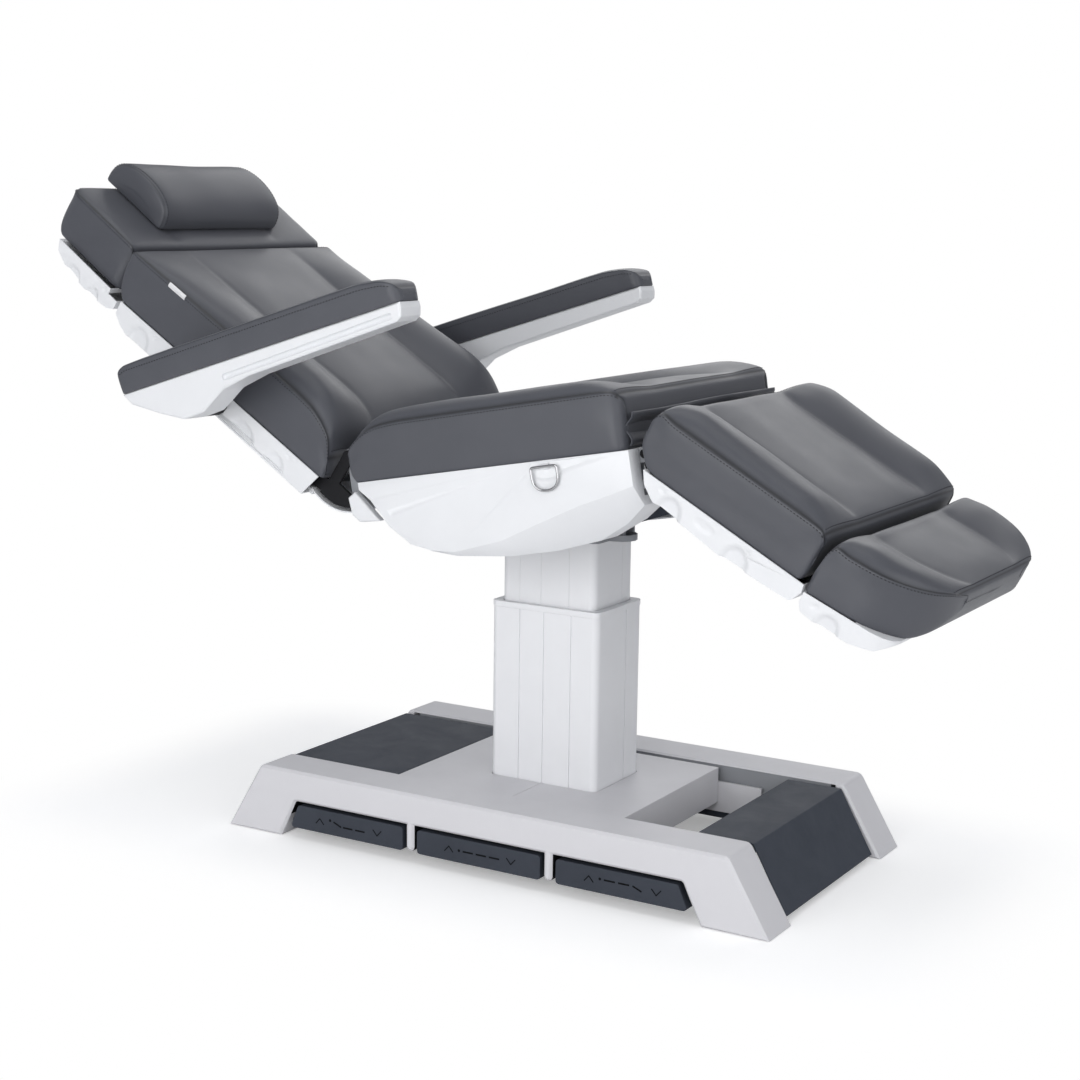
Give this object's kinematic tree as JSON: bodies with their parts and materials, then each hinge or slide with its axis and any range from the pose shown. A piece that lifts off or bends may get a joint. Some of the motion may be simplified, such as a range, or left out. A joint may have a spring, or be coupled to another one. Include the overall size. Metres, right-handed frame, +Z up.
{
  "type": "electric treatment table",
  "caption": "Padded treatment couch in sections on a telescopic lifting column, with folding back, head, leg and foot sections, armrests and rocker foot pedals in the base rails.",
  "frame": {"origin": "centre of the bounding box in X and Y, at floor level in Z", "axes": "+X toward the foot end, +Y toward the left side of a person who lies on it, +Z up"},
  "size_m": [1.8175, 0.92, 1.2607],
  "materials": {
    "upholstery": "satin mid grey faux leather",
    "white_shell": "satin white moulded plastic",
    "rail_white": "satin light grey moulded plastic",
    "column_paint": "satin white powder coat",
    "slate_plastic": "matt dark slate plastic",
    "pedal_rubber": "matt dark slate plastic with raised symbols",
    "black_frame": "satin black powder coat",
    "grey_frame": "satin grey powder coat",
    "bright_steel": "ground steel",
    "chrome_ring": "polished chrome"
  },
  "bodies": {
    "base": {"right_base_rail": "rail_white", "left_base_rail": "rail_white", "base_frame": "grey_frame", "right_pedal_bracket": "grey_frame", "left_pedal_bracket": "grey_frame", "column_cover_head": "rail_white", "column_cover_foot": "rail_white", "foot_end_cover": "slate_plastic", "head_end_cover": "slate_plastic", "power_inlet": "slate_plastic", "control_box": "slate_plastic", "column_outer_tube": "column_paint", "column_trim_ring": "column_paint", "lift_motor": "slate_plastic"},
    "lift": {"column_inner_tube": "bright_steel", "lift_push_rod": "bright_steel", "column_head_bracket": "column_paint", "tilt_pin": "bright_steel"},
    "seat": {"seat_cushion": "upholstery", "seat_shell": "white_shell", "seat_frame": "grey_frame", "back_hinge_shaft": "bright_steel", "leg_hinge_shaft": "bright_steel", "mechanism_cover": "slate_plastic", "right_hinge_cover": "white_shell", "left_hinge_cover": "white_shell", "leg_joint_flap": "upholstery", "back_actuator": "slate_plastic", "leg_actuator": "slate_plastic"},
    "back": {"back_cushion": "upholstery", "back_shell": "white_shell", "back_frame": "black_frame", "head_hinge_shaft": "bright_steel"},
    "head": {"head_cushion": "upholstery", "head_shell": "white_shell", "head_frame": "black_frame", "head_pillow": "upholstery"},
    "leg": {"leg_cushion": "upholstery", "leg_shell": "white_shell", "leg_frame": "black_frame", "foot_hinge_shaft": "bright_steel"},
    "foot": {"foot_cushion": "upholstery", "foot_shell": "white_shell", "foot_frame": "black_frame"},
    "right_arm": {"right_arm_pad": "upholstery", "right_arm_support": "white_shell"},
    "left_arm": {"left_arm_pad": "upholstery", "left_arm_support": "white_shell"},
    "right_ring": {"right_d_ring": "chrome_ring"},
    "left_ring": {"left_d_ring": "chrome_ring"},
    "tilt_housing": {"tilt_actuator": "slate_plastic"},
    "tilt_rod": {"tilt_actuator_rod": "bright_steel"},
    "back_rod": {"back_actuator_rod": "bright_steel"},
    "leg_rod": {"leg_actuator_rod": "bright_steel"},
    "right_head_pedal": {"right_head_pedal": "pedal_rubber"},
    "right_middle_pedal": {"right_middle_pedal": "pedal_rubber"},
    "right_foot_pedal": {"right_foot_pedal": "pedal_rubber"},
    "left_head_pedal": {"left_head_pedal": "pedal_rubber"},
    "left_middle_pedal": {"left_middle_pedal": "pedal_rubber"},
    "left_foot_pedal": {"left_foot_pedal": "pedal_rubber"}
  },
  "joints": [
    {"name": "lift_slide", "type": "slide", "parent": "base", "child": "lift", "axis": [0, 0, 1], "range_m": [-0.1, 0.19]},
    {"name": "tilt_hinge", "type": "hinge", "parent": "lift", "child": "seat", "pos_m": [0.03695, 0, 0.655], "axis": [0, -1, 0], "range_deg": [-10.4, 7.6]},
    {"name": "back_hinge", "type": "hinge", "parent": "seat", "child": "back", "pos_m": [-0.21803, 0, 0.73804], "axis": [0, 1, 0], "range_deg": [-42.9, 35]},
    {"name": "head_hinge", "type": "hinge", "parent": "back", "child": "head", "pos_m": [-0.74687, 0, 0.99242], "axis": [0, 1, 0], "range_deg": [-30, 2]},
    {"name": "leg_hinge", "type": "hinge", "parent": "seat", "child": "leg", "pos_m": [0.38795, 0, 0.78998], "axis": [0, -1, 0], "range_deg": [-15, 39.2]},
    {"name": "foot_hinge", "type": "hinge", "parent": "leg", "child": "foot", "pos_m": [0.68932, 0, 0.58778], "axis": [0, -1, 0], "range_deg": [-20, 8]},
    {"name": "right_arm_hinge", "type": "hinge", "parent": "back", "child": "right_arm", "pos_m": [-0.49954, -0.4225, 0.82845], "axis": [0, -1, 0], "range_deg": [-50, 70]},
    {"name": "left_arm_hinge", "type": "hinge", "parent": "back", "child": "left_arm", "pos_m": [-0.49954, 0.4225, 0.82845], "axis": [0, -1, 0], "range_deg": [-50, 70]},
    {"name": "right_head_pedal_rock", "type": "hinge", "parent": "base", "child": "right_head_pedal", "pos_m": [-0.20255, -0.24, 0.05], "axis": [0, 1, 0], "range_deg": [-2.5, 2.5], "stiffness_Nm_per_rad": 20},
    {"name": "right_middle_pedal_rock", "type": "hinge", "parent": "base", "child": "right_middle_pedal", "pos_m": [0.08195, -0.24, 0.05], "axis": [0, 1, 0], "range_deg": [-2.5, 2.5], "stiffness_Nm_per_rad": 20},
    {"name": "right_foot_pedal_rock", "type": "hinge", "parent": "base", "child": "right_foot_pedal", "pos_m": [0.36645, -0.24, 0.05], "axis": [0, 1, 0], "range_deg": [-2.5, 2.5], "stiffness_Nm_per_rad": 20},
    {"name": "left_head_pedal_rock", "type": "hinge", "parent": "base", "child": "left_head_pedal", "pos_m": [-0.20255, 0.24, 0.05], "axis": [0, 1, 0], "range_deg": [-2.5, 2.5], "stiffness_Nm_per_rad": 20},
    {"name": "left_middle_pedal_rock", "type": "hinge", "parent": "base", "child": "left_middle_pedal", "pos_m": [0.08195, 0.24, 0.05], "axis": [0, 1, 0], "range_deg": [-2.5, 2.5], "stiffness_Nm_per_rad": 20},
    {"name": "left_foot_pedal_rock", "type": "hinge", "parent": "base", "child": "left_foot_pedal", "pos_m": [0.36645, 0.24, 0.05], "axis": [0, 1, 0], "range_deg": [-2.5, 2.5], "stiffness_Nm_per_rad": 20},
    {"name": "right_ring_hinge", "type": "hinge", "parent": "seat", "child": "right_ring", "pos_m": [0.21715, -0.3096, 0.75894], "axis": [-0.9836, 0, -0.1805], "range_deg": [0, 85]},
    {"name": "left_ring_hinge", "type": "hinge", "parent": "seat", "child": "left_ring", "pos_m": [0.21715, 0.3096, 0.75894], "axis": [0.9836, 0, 0.1805], "range_deg": [0, 85]},
    {"name": "tilt_actuator_swing", "type": "hinge", "parent": "lift", "child": "tilt_housing", "pos_m": [0.20695, 0, 0.622], "axis": [0, -1, 0], "range_deg": [-20, 15]},
    {"name": "tilt_actuator_slide", "type": "slide", "parent": "tilt_housing", "child": "tilt_rod", "axis": [0.8754, 0, 0.4834], "range_m": [-0.02, 0.015]},
    {"name": "back_actuator_slide", "type": "slide", "parent": "seat", "child": "back_rod", "axis": [0.9836, 0, 0.1805], "range_m": [-0.061, 0.074]},
    {"name": "leg_actuator_slide", "type": "slide", "parent": "seat", "child": "leg_rod", "axis": [0.9836, 0, 0.1805], "range_m": [-0.0175, 0.0445]}
  ],
  "couplings": [
    {"joint": "tilt_actuator_swing", "follows": "tilt_hinge", "ratio": 1.83},
    {"joint": "tilt_actuator_slide", "follows": "tilt_hinge", "m_per_rad": 0.103},
    {"joint": "back_actuator_slide", "follows": "back_hinge", "m_per_rad": -0.097},
    {"joint": "leg_actuator_slide", "follows": "leg_hinge", "m_per_rad": 0.063}
  ]
}
